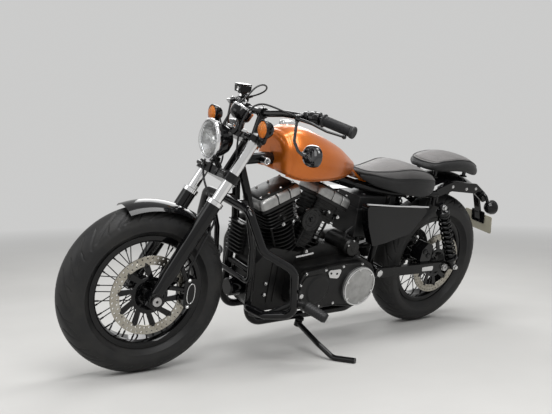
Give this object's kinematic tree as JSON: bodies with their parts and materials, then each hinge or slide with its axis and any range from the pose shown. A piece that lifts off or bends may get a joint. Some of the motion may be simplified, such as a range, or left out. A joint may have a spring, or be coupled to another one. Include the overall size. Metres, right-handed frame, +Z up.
{
  "type": "cruiser motorcycle",
  "caption": "Low cruiser motorcycle with wire wheels, wide tyres, a finned V-twin engine and two seats, leaning on its side stand.",
  "frame": {"origin": "middle of the whole parked machine on the floor, under its bounding box centre", "axes": "+X forward along the wheelbase, +Y to the rider's left, +Z up; the machine leans 15 degrees towards +Y on its side stand"},
  "size_m": [2.2063, 0.9806, 1.0999],
  "materials": {
    "amber": "amber lens",
    "black_paint": "gloss black enamel",
    "chrome": "mirror chrome",
    "disc_steel": "ground, slightly bronze",
    "engine_black": "wrinkle black",
    "frame_black": "satin black powder coat",
    "headlamp_glass": "clear",
    "mirror": "black shell",
    "pipe": "matt black heat paint",
    "plastic": "black plastic",
    "plate": "cream enamel, blank",
    "polished": "polished",
    "red": "red lens",
    "rubber": "matt",
    "seat": "grained dark leather",
    "silver_cast": "satin cast aluminium",
    "steel": "brushed",
    "tank_paint": "metallic burnt orange",
    "tyre": "matt rubber"
  },
  "bodies": {
    "chassis": {"frame": "frame_black", "engine_case": "engine_black", "primary_cover": "engine_black", "derby_cover": "silver_cast", "inspection_cover": "polished", "cylinders": "engine_black", "rocker_boxes": "silver_cast", "gearcase_cover": "engine_black", "pushrod_tubes": "chrome", "air_cleaner": "black_paint", "intake": "engine_black", "exhaust": "pipe", "horn": "black_paint", "oil_filter": "black_paint", "regulator": "engine_black", "fuel_tank": "tank_paint", "fuel_cap": "chrome", "rider_seat": "seat", "pillion_seat": "seat", "rear_fender": "black_paint", "fender_struts": "black_paint", "rear_shocks": "black_paint", "swingarm": "frame_black", "rear_axle": "steel", "drive_belt": "rubber", "battery_cover": "black_paint", "oil_tank": "black_paint", "rear_signals": "black_paint", "rear_signal_lenses": "red", "plate": "plate", "engine_guard": "black_paint", "foot_controls": "plastic", "rear_caliper": "black_paint"},
    "fork": {"triple_clamps": "black_paint", "fork_tubes": "chrome", "fork_sliders": "black_paint", "front_axle": "steel", "front_fender": "black_paint", "front_caliper": "black_paint", "headlamp_shell": "black_paint", "headlamp_lens": "headlamp_glass", "handlebar": "black_paint", "grips": "rubber", "hand_controls": "plastic", "brake_reservoir": "plastic", "clutch_cable": "rubber", "throttle_cable": "rubber", "brake_hose": "rubber", "mirrors": "mirror", "front_signals": "black_paint", "front_signal_lenses": "amber", "speedometer": "plastic"},
    "front_wheel": {"front_tyre": "tyre", "front_wheel": "black_paint", "front_disc": "disc_steel"},
    "rear_wheel": {"rear_tyre": "tyre", "rear_wheel": "black_paint", "rear_disc": "disc_steel", "rear_pulley": "engine_black"},
    "side_stand": {"side_stand": "frame_black"}
  },
  "joints": [
    {"name": "steering", "type": "hinge", "parent": "chassis", "child": "fork", "pos_m": [0.44582, 0.02499, 0.78765], "axis": [-0.5042, 0.2279, 0.833], "range_deg": [-24.6, 39.4]},
    {"name": "front_wheel_spin", "type": "hinge", "parent": "fork", "child": "front_wheel", "pos_m": [0.78474, -0.11036, 0.31493], "axis": [0.1112, 0.9737, -0.199], "continuous": true},
    {"name": "rear_wheel_spin", "type": "hinge", "parent": "chassis", "child": "rear_wheel", "pos_m": [-0.72494, -0.10446, 0.31448], "axis": [0, 0.9646, -0.2639], "continuous": true},
    {"name": "side_stand_fold", "type": "hinge", "parent": "chassis", "child": "side_stand", "pos_m": [0.10331, -0.04442, 0.1095], "axis": [-0.1017, 0.3182, 0.9426], "range_deg": [0, 80]}
  ]
}
